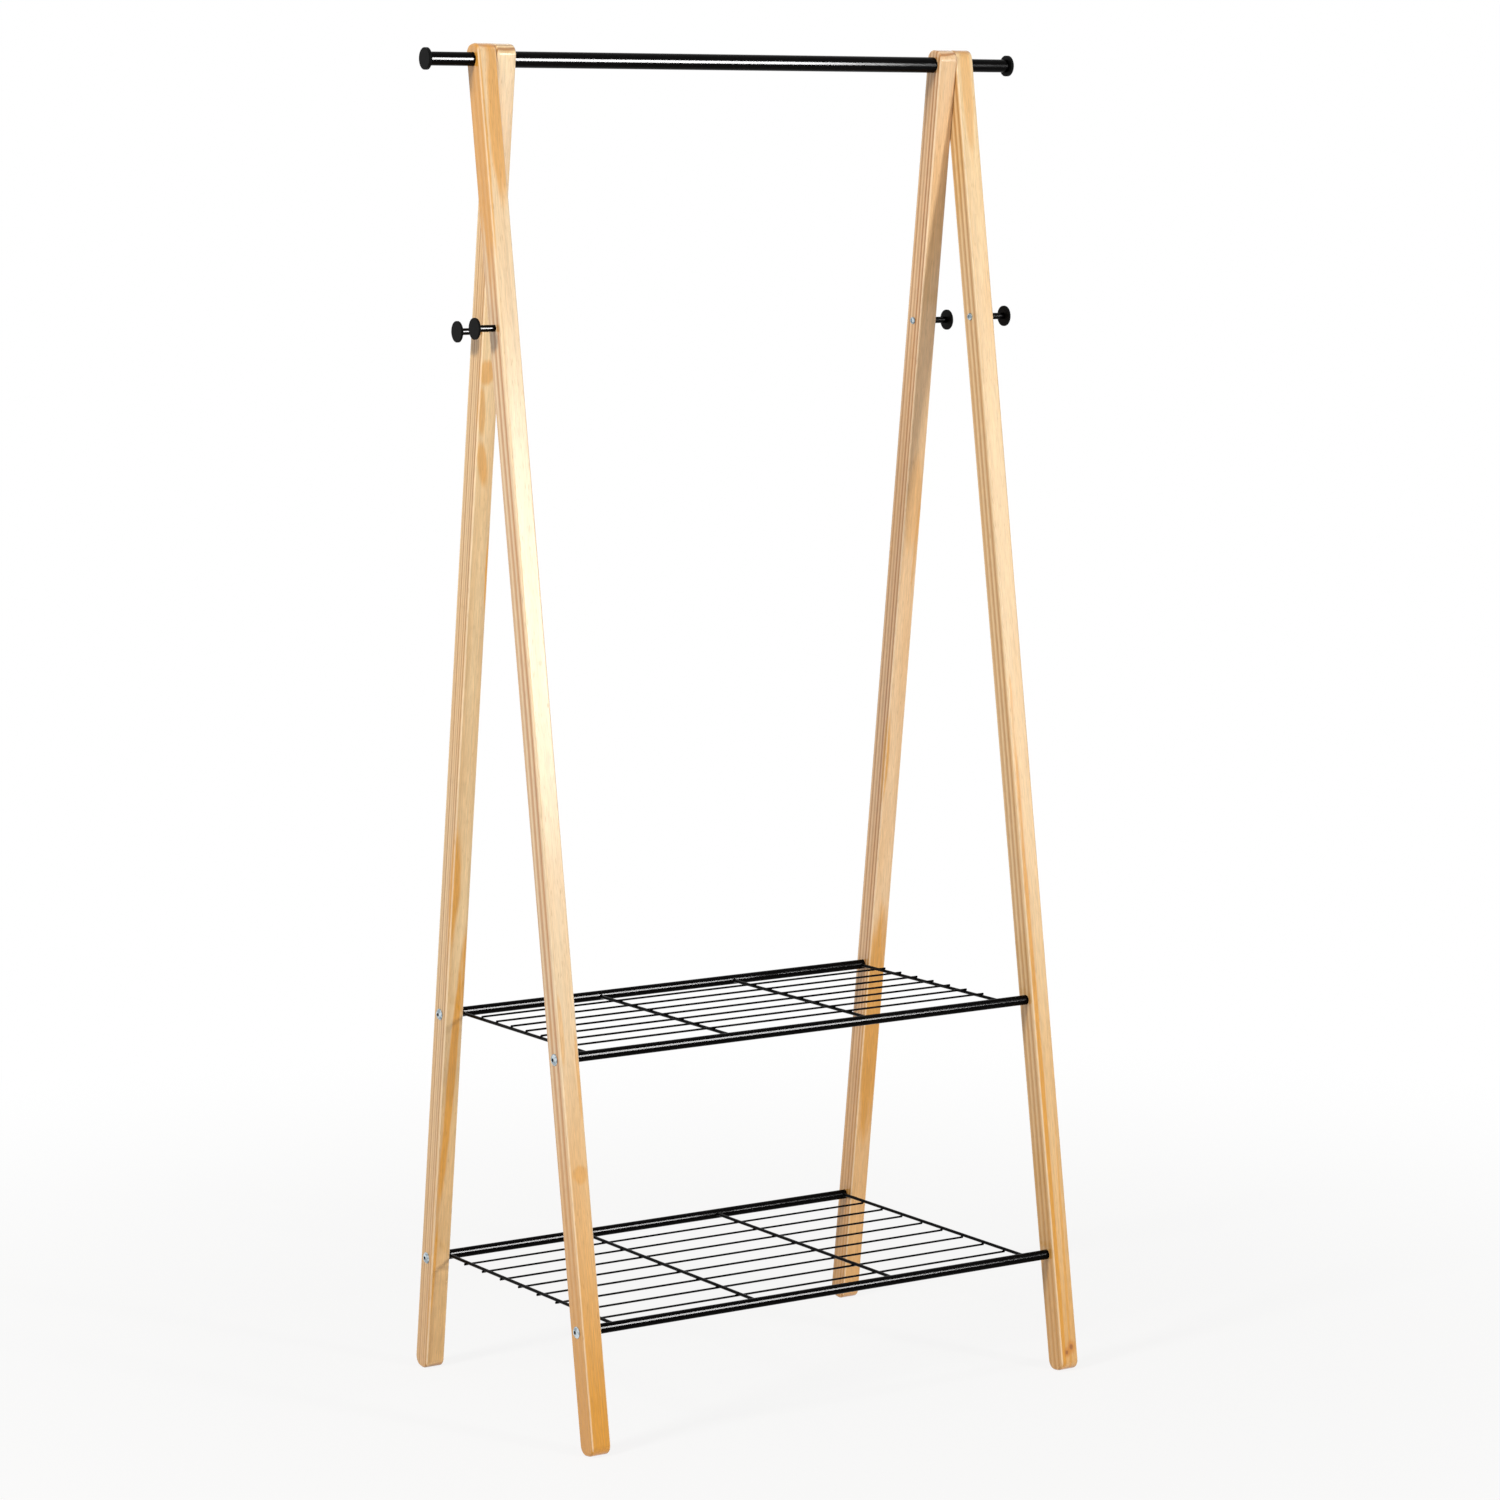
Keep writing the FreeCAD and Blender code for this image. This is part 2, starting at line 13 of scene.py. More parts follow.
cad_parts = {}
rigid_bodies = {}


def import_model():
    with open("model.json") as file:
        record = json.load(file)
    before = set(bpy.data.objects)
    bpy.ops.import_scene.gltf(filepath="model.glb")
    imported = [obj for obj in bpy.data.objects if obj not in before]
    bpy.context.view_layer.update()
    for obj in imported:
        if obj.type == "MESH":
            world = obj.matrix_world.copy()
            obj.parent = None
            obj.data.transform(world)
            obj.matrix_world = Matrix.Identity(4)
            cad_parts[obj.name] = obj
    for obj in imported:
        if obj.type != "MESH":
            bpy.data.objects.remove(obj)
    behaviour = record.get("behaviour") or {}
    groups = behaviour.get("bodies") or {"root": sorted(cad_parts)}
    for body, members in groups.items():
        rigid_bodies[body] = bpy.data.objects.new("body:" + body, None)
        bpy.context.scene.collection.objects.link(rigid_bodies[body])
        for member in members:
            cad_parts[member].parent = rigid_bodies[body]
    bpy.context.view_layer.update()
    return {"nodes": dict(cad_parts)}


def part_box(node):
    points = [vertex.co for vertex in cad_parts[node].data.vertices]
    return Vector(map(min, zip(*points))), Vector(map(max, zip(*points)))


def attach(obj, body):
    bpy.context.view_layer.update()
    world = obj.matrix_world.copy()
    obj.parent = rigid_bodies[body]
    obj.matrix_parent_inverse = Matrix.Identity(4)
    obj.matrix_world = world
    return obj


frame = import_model()

log = logging.getLogger("clothes_rack")
ROOT = "root"
MM = 0.001

Colour = tuple[float, float, float, float]
Point = tuple[float, float, float]
Span = tuple[float, float]
Material = bpy.types.Material
Node = bpy.types.Node
Piece = bpy.types.Object
Socket = bpy.types.NodeSocket
Tree = bpy.types.NodeTree

# Millimetres: the rail's axis above the floor, the feet's distance from it, the legs' places and half sizes
RAIL_HEIGHT = 1602.0
FOOT_SPREAD = 226.5
OUTER_LEG_X = 335.75
INNER_LEG_X = 310.75
LEG_HALF_WIDTH = 12.5
LEG_HALF_DEPTH = 14.5
# Degrees that a leg leans off the plumb line
LEG_LEAN = math.degrees(math.atan(FOOT_SPREAD / RAIL_HEIGHT))
# Most values of a noise lie in this span
NOISE_SPAN: Span = (0.3, 0.7)
# Octaves of finer noise in a cloud
CLOUD_DETAIL = 3.0


class Side(Enum):
    """End of the rack, by the sign of its X."""

    LEFT = -1
    RIGHT = 1


class Row(Enum):
    """Leg of an A-frame, by the sign of its foot's Y."""

    FRONT = -1
    BACK = 1


class Level(Enum):
    """Wire shelf, with the side of its cross wires that the long wires lie on."""

    UPPER = 1
    LOWER = -1


class Rays(Enum):
    """What a lamp serves: the gloss of a coat, or the tone and shadow under it."""

    GLOSS = "gloss"
    MATTE = "matte"


class Slot(Enum):
    """Material slot of the record that a modelled piece takes."""

    STEEL = "black_steel"


def linear(code: str) -> Colour:
    """Turn an sRGB hex code into a linear colour.

    Args:
        code: Six hex digits after a hash sign.

    Returns:
        Linear red, green and blue, and a full alpha.
    """
    parts = [int(code[at:at + 2], 16) / 255 for at in (1, 3, 5)]
    red, green, blue = [p / 12.92 if p <= 0.04045 else ((p + 0.055) / 1.055) ** 2.4 for p in parts]
    return red, green, blue, 1.0


def feed(tree: Tree, node: Node, inputs: dict[Union[int, str], Any]) -> None:
    """Link or set the inputs of a node.

    Args:
        tree: Node tree that holds the node.
        node: Node that gets the inputs.
        inputs: Socket index or name, with the socket that feeds it or its value.
    """
    for name, value in inputs.items():
        if isinstance(value, Socket):
            tree.links.new(value, node.inputs[name])
        else:
            node.inputs[name].default_value = value


def add_node(
    tree: Tree,
    kind: str,
    inputs: Optional[dict[Union[int, str], Any]] = None,
    stops: Sequence[tuple[float, Colour]] = (),
    **settings: Any,
) -> Node:
    """Add a node with its settings, values and links.

    Args:
        tree: Node tree that gets the node.
        kind: Type name of the node.
        inputs: Socket index or name, with the socket that feeds it or its value.
        stops: Positions and colours of a colour ramp.
        settings: Attributes of the node.

    Returns:
        The new node.
    """
    node = tree.nodes.new(kind)
    for name, value in settings.items():
        setattr(node, name, value)
    feed(tree, node, inputs or {})
    for index, (position, colour) in enumerate(stops):
        elements = node.color_ramp.elements
        stop = elements[index] if index < len(elements) else elements.new(position)
        stop.position = position
        stop.color = colour
    return node


def calc(tree: Tree, operation: str, *values: Any) -> Socket:
    """Work with numbers.

    Args:
        tree: Node tree to work in.
        operation: Name of the operation.
        values: Sockets or numbers that it takes, in order.

    Returns:
        The result.
    """
    return add_node(tree, "ShaderNodeMath", dict(enumerate(values)), operation=operation).outputs[0]


def calc_vector(tree: Tree, operation: str, *values: Any) -> Socket:
    """Work with vectors.

    Args:
        tree: Node tree to work in.
        operation: Name of the operation.
        values: Sockets or vectors that it takes, in order.

    Returns:
        The resulting vector, or the number that a length is.
    """
    node = add_node(tree, "ShaderNodeVectorMath", dict(enumerate(values)), operation=operation)
    return node.outputs["Value" if operation == "LENGTH" else "Vector"]


def mapped(
    tree: Tree, value: Socket, start: float, end: float, low: float, high: float, smooth: bool = False
) -> Socket:
    """Map one span of values onto another.

    Args:
        tree: Node tree to work in.
        value: Value to map.
        start: Value that becomes low.
        end: Value that becomes high.
        low: Result at the start and before it.
        high: Result at the end and past it.
        smooth: Whether the ends are eased.

    Returns:
        The mapped value.
    """
    return add_node(tree, "ShaderNodeMapRange", {
        "Value": value, "From Min": start, "From Max": end, "To Min": low, "To Max": high,
    }, interpolation_type="SMOOTHSTEP" if smooth else "LINEAR").outputs["Result"]


def mixed(
    tree: Tree,
    share: Union[Socket, float],
    first: Union[Socket, Colour],
    second: Union[Socket, Colour],
    blend_type: str = "MIX",
) -> Socket:
    """Mix two colours.

    Args:
        tree: Node tree to work in.
        share: Share of the second colour.
        first: Colour below.
        second: Colour on top.
        blend_type: How the second colour acts on the first.

    Returns:
        The mixed colour.
    """
    return add_node(tree, "ShaderNodeMix", {
        0: share, 6: first, 7: second,
    }, data_type="RGBA", blend_type=blend_type).outputs[2]


def clouds(tree: Tree, size: float) -> Socket:
    """Draw soft clouds all over a piece.

    Args:
        tree: Node tree of the material.
        size: Size of a cloud (mm).

    Returns:
        Cloud value, around 0.5.
    """
    place = add_node(tree, "ShaderNodeTexCoord").outputs["Object"]
    return add_node(tree, "ShaderNodeTexNoise", {
        "Vector": place, "Scale": 1 / (size * MM), "Detail": CLOUD_DETAIL,
    }).outputs["Fac"]


def new_material(name: str) -> tuple[Material, Tree, Node]:
    """Make a material with a bare Principled shader.

    Args:
        name: Name of the real material.

    Returns:
        The material, its node tree and its shader.
    """
    material = bpy.data.materials.new(name)
    material.use_nodes = True
    tree = material.node_tree
    tree.nodes.clear()
    shader = add_node(tree, "ShaderNodeBsdfPrincipled")
    add_node(tree, "ShaderNodeOutputMaterial", {"Surface": shader.outputs["BSDF"]})
    return material, tree, shader


def dress(node: str, material: Material) -> None:
    """Give a CAD node its finish.

    Args:
        node: Name of the node.
        material: Finish of all its faces.
    """
    slots = frame["nodes"][node].data.materials
    slots.clear()
    slots.append(material)
    log.info("%s: %s", node, material.name)


@dataclass(frozen=True)
class Grain:
    """Noise drawn out along the wood (mm), with the octaves of finer noise in it."""

    across: float
    along: float
    detail: float

    def noise(self, tree: Tree, place: Socket) -> Node:
        """Draw the noise.

        Args:
            tree: Node tree of the material.
            place: Board coordinates, shifted so that no two boards are alike.

        Returns:
            Noise node, with values around 0.5.
        """
        stretched = calc_vector(tree, "MULTIPLY", place, (1 / self.across, 1 / self.across, 1 / self.along))
        return add_node(tree, "ShaderNodeTexNoise", {
            "Vector": stretched, "Scale": 1.0, "Detail": self.detail,
        })


# Long fibres and the short flecks of cut cells between them, drawn about twice as coarse as real
FIBRES = Grain(across=1.4, along=240.0, detail=4.0)
FLECKS = Grain(across=1.1, along=16.0, detail=3.0)
# Resin ducts, dashes about 1 mm wide and 10 mm long, which are the peaks of their noise
DUCTS = Grain(across=0.9, along=12.0, detail=0.0)
DUCT_SPAN: Span = (0.7, 0.78)
# Slow amber patches
PATCHES = Grain(across=24.0, along=260.0, detail=2.0)
PATCH_SPAN: Span = (0.45, 0.75)
# Bends of the stem
BENDS = Grain(across=50.0, along=450.0, detail=2.0)
# Ragged edge of a tongue, as a share of the tongue's half size
RAGS = Grain(across=9.0, along=60.0, detail=3.0)
RAGGEDNESS = 0.7
TONGUE_SPAN: Span = (0.95, 1.4)
# Share of late wood through a year: early wood turns slowly into late wood, and the year ends sharply
YEAR = ((0.0, 0.75), (0.14, 0.3), (0.3, 0.04), (0.5, 0.4), (0.7, 0.85), (0.86, 1.0), (1.0, 0.75))
POOREST_YEAR = 0.4
# Where amber starts and is full: on the side faces, across from the board's middle, and towards the foot,
# along from the rail's axis (mm). The amber towards the foot is painted shade, for lower legs that get less
# light and less sheen
SIDE_SPAN: Span = (11.0, 12.2)
FOOT_SHADE_SPAN: Span = (-1120.0, -1560.0)
# Step from one board's noise to the next (mm)
SEED_STEP: Point = (311.0, 173.0, 2011.0)


@dataclass(frozen=True)
class Tongue:
    """Amber tongue on the front face, where the saw ran along one layer of late wood (mm, degrees)."""

    across: float
    along: float
    half_width: float
    half_length: float
    turn: float = 0.0
    share: float = 0.75


@dataclass(frozen=True)
class PinKnot:
    """Small sound knot that runs through the leg's depth (mm), with its halo and its heart."""

    across: float
    along: float
    radius: float
    stretch: float = 1.3
    half_depth: float = 1000.0
    share: float = 0.8
    rings: tuple[tuple[Span, str], ...] = (((0.9, 3.0), "#CF8328"), ((0.5, 1.2), "#9A5A22"))


@dataclass(frozen=True)
class Pine:
    """Clear-lacquered pine, planed and sand-papered: pale early wood, tan late wood, satin sheen.

    Lengths are in millimetres, angles in degrees. The growth rings are shells about a pith line
    behind the leg, so the side faces show straight lines and the front face a broad flat-sawn figure.
    A span holds the values at its two ends.
    """

    name: str
    centre_x: float
    lean: float
    pith_across: float
    pith_depth: float
    pith_lean: float
    pith_sway: float
    ring: float
    seed: float
    front_season: float = 0.28
    early: str = "#F6D5A0"
    late: str = "#BA7C3C"
    # Pale colour of the painted highlight on the rounded long edges
    edge: str = "#FFE6C2"
    amber: str = "#DE9A30"
    duct: str = "#9C6A3C"
    wander: float = 4.0
    patch_amber: float = 0.25
    # Share of amber towards the foot: painted shade, darker towards the foot
    foot_shade_amber: float = 0.2
    side_amber: float = 0.08
    edge_width: float = 2.1
    edge_share: float = 0.6
    duct_share: float = 0.3
    fibre_tint: Span = (0.91, 1.08)
    fleck_tint: Span = (0.88, 1.08)
    roughness: Span = (0.3, 0.24)
    specular: float = 0.15
    coat: Span = (0.9, 0.4)
    coat_roughness: float = 0.18
    relief: float = 0.05
    relief_strength: float = 0.25
    tongue_depth: float = 8.0
    tongues: tuple[Tongue, ...] = ()
    knots: tuple[PinKnot, ...] = ()

    def material(self) -> Material:
        """Make the material of one leg."""
        material, tree, shader = new_material(self.name)
        # Board coordinates in millimetres: X across, Y depth, Z along the leg from the rail's axis
        board = add_node(tree, "ShaderNodeMapping", {
            "Vector": add_node(tree, "ShaderNodeTexCoord").outputs["Object"],
            "Location": (self.centre_x * MM, 0.0, RAIL_HEIGHT * MM),
            "Rotation": (math.radians(self.lean), 0.0, 0.0),
            "Scale": (MM, MM, MM),
        }, vector_type="TEXTURE").outputs["Vector"]
        seeded = calc_vector(tree, "ADD", board, tuple(self.seed * step for step in SEED_STEP))

        colour = mixed(tree, self.late_wood(tree, board, seeded), linear(self.early), linear(self.late))
        colour = self.toned(tree, colour, board, seeded)
        for tongue in self.tongues:
            colour = self.tongued(tree, colour, board, seeded, tongue)
        for knot in self.knots:
            colour = self.knotted(tree, colour, board, knot)
        # Painted highlight: the rounded long edges made paler, where they catch the light
        colour = self.painted_edge_highlight(tree, colour, board)

        fibre = FIBRES.noise(tree, seeded).outputs["Fac"]
        fleck = FLECKS.noise(tree, seeded).outputs["Fac"]
        for grain, tint in ((fibre, self.fibre_tint), (fleck, self.fleck_tint)):
            colour = mixed(tree, 1.0, colour, mapped(tree, grain, *NOISE_SPAN, *tint), "MULTIPLY")
        # The lacquer sinks into the resin ducts
        duct = mapped(tree, DUCTS.noise(tree, seeded).outputs["Fac"], *DUCT_SPAN, 0.0, self.duct_share)
        feed(tree, shader, {
            "Base Color": mixed(tree, duct, colour, linear(self.duct)),
            "Roughness": mapped(tree, fibre, *NOISE_SPAN, *self.roughness),
            "Normal": add_node(tree, "ShaderNodeBump", {
                "Strength": self.relief_strength, "Distance": self.relief * MM, "Height": fibre,
            }).outputs["Normal"],
            "Coat Weight": mapped(tree, duct, 0.0, self.duct_share, *self.coat),
            "Coat Roughness": self.coat_roughness,
            "Specular IOR Level": self.specular,
        })
        return material

    def late_wood(self, tree: Tree, board: Socket, seeded: Socket) -> Socket:
        """Work out how much late wood shows at each point.

        Args:
            tree: Node tree of the material.
            board: Board coordinates.
            seeded: Board coordinates, shifted so that no two legs are alike.

        Returns:
            Share of late wood, from 0 to 1.
        """
        bend = BENDS.noise(tree, seeded).outputs["Color"]
        bent = calc_vector(tree, "MULTIPLY_ADD", bend, (self.wander, self.wander, 0.0), board)
        stem = add_node(tree, "ShaderNodeMapping", {
            "Vector": bent,
            "Location": (self.pith_across + self.wander / 2, self.pith_depth + self.wander / 2, 0.0),
            "Rotation": (math.radians(self.pith_lean), math.radians(self.pith_sway), 0.0),
        }, vector_type="TEXTURE").outputs["Vector"]
        radius = calc_vector(tree, "LENGTH", calc_vector(tree, "MULTIPLY", stem, (1.0, 1.0, 0.0)))
        # Years are counted from the front face's middle, so that its season is known
        front = math.hypot(self.pith_across, self.pith_depth + LEG_HALF_DEPTH)
        years = calc(tree, "MULTIPLY_ADD", radius, 1 / self.ring, self.front_season - front / self.ring)
        season = calc(tree, "FRACT", years)
        growth = add_node(tree, "ShaderNodeTexWhiteNoise", {
            "W": calc(tree, "ADD", calc(tree, "FLOOR", years), self.seed),
        }, noise_dimensions="1D").outputs["Value"]
        stops = [(at, (share, share, share, 1.0)) for at, share in YEAR]
        profile = add_node(tree, "ShaderNodeValToRGB", {"Fac": season}, stops).outputs["Color"]
        return calc(tree, "MULTIPLY", profile, mapped(tree, growth, 0.0, 1.0, POOREST_YEAR, 1.0))

    def toned(self, tree: Tree, colour: Socket, board: Socket, seeded: Socket) -> Socket:
        """Add slow amber patches, amber side faces and an amber foot, which is painted shade, to the wood's
        colour.

        Args:
            tree: Node tree of the material.
            colour: Colour of the growth rings.
            board: Board coordinates.
            seeded: Shifted board coordinates.

        Returns:
            Toned colour.
        """
        patch = PATCHES.noise(tree, seeded).outputs["Fac"]
        spot = add_node(tree, "ShaderNodeSeparateXYZ", {0: board})
        # The side faces are toned more amber than the front, darker and more saturated
        aside = calc(tree, "ABSOLUTE", spot.outputs["X"])
        for value, span, share in (
            (patch, PATCH_SPAN, self.patch_amber),
            # Painted shade: amber grows down the leg, darker and more saturated towards the foot
            (spot.outputs["Z"], FOOT_SHADE_SPAN, self.foot_shade_amber),
            (aside, SIDE_SPAN, self.side_amber),
        ):
            colour = mixed(tree, mapped(tree, value, *span, 0.0, share), colour, linear(self.amber))
        return colour

    def painted_edge_highlight(self, tree: Tree, colour: Socket, board: Socket) -> Socket:
        """Paint a highlight on the rounded long edges: a paler colour where the edges catch the light.

        Args:
            tree: Node tree of the material.
            colour: Colour so far.
            board: Board coordinates.

        Returns:
            Colour with pale edges.
        """
        past = calc_vector(
            tree, "SUBTRACT", calc_vector(tree, "ABSOLUTE", board),
            (LEG_HALF_WIDTH - self.edge_width, LEG_HALF_DEPTH - self.edge_width, 0.0),
        )
        sides = add_node(tree, "ShaderNodeSeparateXYZ", {0: past})
        nearer = calc(tree, "MINIMUM", sides.outputs["X"], sides.outputs["Y"])
        return mixed(tree, mapped(tree, nearer, 0.0, 1.0, 0.0, self.edge_share), colour, linear(self.edge))

    def tongued(self, tree: Tree, colour: Socket, board: Socket, seeded: Socket, tongue: Tongue) -> Socket:
        """Lay one amber tongue over the wood's colour, with a ragged edge.

        Args:
            tree: Node tree of the material.
            colour: Colour so far.
            board: Board coordinates.
            seeded: Shifted board coordinates.
            tongue: Place and size of the tongue.

        Returns:
            Colour with the tongue.
        """
        reach = add_node(tree, "ShaderNodeMapping", {
            "Vector": board,
            "Location": (tongue.across, -LEG_HALF_DEPTH, -tongue.along),
            "Rotation": (0.0, math.radians(tongue.turn), 0.0),
            "Scale": (tongue.half_width, self.tongue_depth, tongue.half_length),
        }, vector_type="TEXTURE").outputs["Vector"]
        away = calc_vector(tree, "LENGTH", reach)
        ragged = calc(tree, "MULTIPLY_ADD", RAGS.noise(tree, seeded).outputs["Fac"], RAGGEDNESS, away)
        share = mapped(tree, ragged, *TONGUE_SPAN, tongue.share, 0.0, smooth=True)
        return mixed(tree, share, colour, linear(self.amber))

    def knotted(self, tree: Tree, colour: Socket, board: Socket, knot: PinKnot) -> Socket:
        """Lay one pin knot over the wood's colour.

        Args:
            tree: Node tree of the material.
            colour: Colour so far.
            board: Board coordinates.
            knot: Place and size of the knot.

        Returns:
            Colour with the knot.
        """
        reach = add_node(tree, "ShaderNodeMapping", {
            "Vector": board,
            "Location": (knot.across, 0.0, -knot.along),
            "Scale": (knot.radius, knot.half_depth, knot.radius * knot.stretch),
        }, vector_type="TEXTURE").outputs["Vector"]
        away = calc_vector(tree, "LENGTH", reach)
        for span, code in knot.rings:
            share = mapped(tree, away, *span, knot.share, 0.0, smooth=True)
            colour = mixed(tree, share, colour, linear(code))
        return colour


@dataclass(frozen=True)
class PowderCoat:
    """Black powder coat on steel: near-black and glossy, with a faint mottle from handling (mm)."""

    name: str = "black_powder_coat"
    colour: str = "#040303"
    worn: str = "#090808"
    mottle: float = 30.0
    roughness: Span = (0.12, 0.15)
    specular: float = 0.03

    def material(self) -> Material:
        """Make the coat: a faint mottle and uneven gloss."""
        material, tree, shader = new_material(self.name)
        mottle = clouds(tree, self.mottle)
        feed(tree, shader, {
            "Base Color": mixed(tree, mottle, linear(self.colour), linear(self.worn)),
            "Roughness": mapped(tree, mottle, *NOISE_SPAN, *self.roughness),
            "Specular IOR Level": self.specular,
        })
        return material


@dataclass(frozen=True)
class MouldedPlastic:
    """Black ABS, moulded with a fine matte grain, drawn coarse enough to show (mm)."""

    name: str = "moulded_black_abs"
    colour: str = "#050505"
    grain_colour: str = "#090909"
    grain: float = 0.6
    roughness: Span = (0.5, 0.62)
    specular: float = 0.08
    relief: float = 0.03
    relief_strength: float = 0.3

    def material(self) -> Material:
        """Make the plastic: grain in colour, gloss and relief."""
        material, tree, shader = new_material(self.name)
        cell = add_node(tree, "ShaderNodeTexVoronoi", {
            "Vector": add_node(tree, "ShaderNodeTexCoord").outputs["Object"], "Scale": 1 / (self.grain * MM),
        }).outputs["Distance"]
        feed(tree, shader, {
            "Base Color": mixed(tree, cell, linear(self.colour), linear(self.grain_colour)),
            "Roughness": mapped(tree, cell, 0.0, 1.0, *self.roughness),
            "Normal": add_node(tree, "ShaderNodeBump", {
                "Strength": self.relief_strength, "Distance": self.relief * MM, "Height": cell,
            }).outputs["Normal"],
            "Specular IOR Level": self.specular,
        })
        return material


@dataclass(frozen=True)
class ZincPlate:
    """Bright zinc plate on steel: pale blue-grey metal with a cloudy haze, and painted shade in each socket
    (mm).

    The sockets' axes run along X, at plus and minus the Y and at the Z that are given.
    """

    name: str = "zinc_plated_steel"
    bright: str = "#D2DDE3"
    dull: str = "#8F9EA6"
    haze: float = 4.0
    haze_span: Span = (0.4, 0.6)
    roughness: Span = (0.18, 0.3)
    socket_axis: Optional[Span] = None
    socket_radius: float = 2.2
    # Dark colour of the painted shade in the sockets
    socket_shade: str = "#1C2226"

    def material(self) -> Material:
        """Make the plating: clouds in tint and gloss, as the chromate bath leaves them, and sockets darkened
        with painted shade.
        """
        material, tree, shader = new_material(self.name)
        cloud = clouds(tree, self.haze)
        haze = mapped(tree, cloud, *self.haze_span, 0.0, 1.0)
        colour = mixed(tree, haze, linear(self.bright), linear(self.dull))
        if self.socket_axis:
            colour = self.shade_sockets(tree, colour, *self.socket_axis)
        feed(tree, shader, {
            "Base Color": colour,
            "Roughness": mapped(tree, cloud, *NOISE_SPAN, *self.roughness),
            "Metallic": 1.0,
        })
        return material

    def shade_sockets(self, tree: Tree, colour: Socket, axis_y: float, axis_z: float) -> Socket:
        """Darken the sockets with painted shade, where the recess lies in shadow.

        Args:
            tree: Node tree of the material.
            colour: Colour of the plating.
            axis_y: Distance of the sockets' axes from the middle (mm).
            axis_z: Height of the sockets' axes (mm).

        Returns:
            Colour with dark sockets.
        """
        place = add_node(tree, "ShaderNodeTexCoord").outputs["Object"]
        past = calc_vector(
            tree, "ADD", calc_vector(tree, "ABSOLUTE", place), (0.0, -axis_y * MM, -axis_z * MM)
        )
        off_axis = calc_vector(tree, "LENGTH", calc_vector(tree, "MULTIPLY", past, (0.0, 1.0, 1.0)))
        # Painted shade: a dark colour within the socket's radius of each axis
        inside = calc(tree, "LESS_THAN", off_axis, self.socket_radius * MM)
        return mixed(tree, inside, colour, linear(self.socket_shade))


@dataclass
class AFrame:
    """Two crossed legs at one end of the rack, with their pegs."""

    side: Side
    boards: dict[Row, Pine]

    def dress(self, steel: Material, plastic: Material) -> None:
        """Finish the legs and the pegs.

        Args:
            steel: Finish of the peg stems.
            plastic: Finish of the peg discs.
        """
        for row, board in self.boards.items():
            stem = f"{self.side.name}_{row.name}".lower()
            dress(f"{stem}_leg", board.material())
            dress(f"{stem}_peg_stem", steel)
            dress(f"{stem}_peg_cap", plastic)


@dataclass
class HangingRail:
    """Steel rail with its two end caps."""

    def dress(self, steel: Material, plastic: Material) -> None:
        """Finish the rail and its caps.

        Args:
            steel: Finish of the rail.
            plastic: Finish of the caps.
        """
        dress("hanging_rail", steel)
        for side in Side:
            dress(f"{side.name.lower()}_rail_cap", plastic)


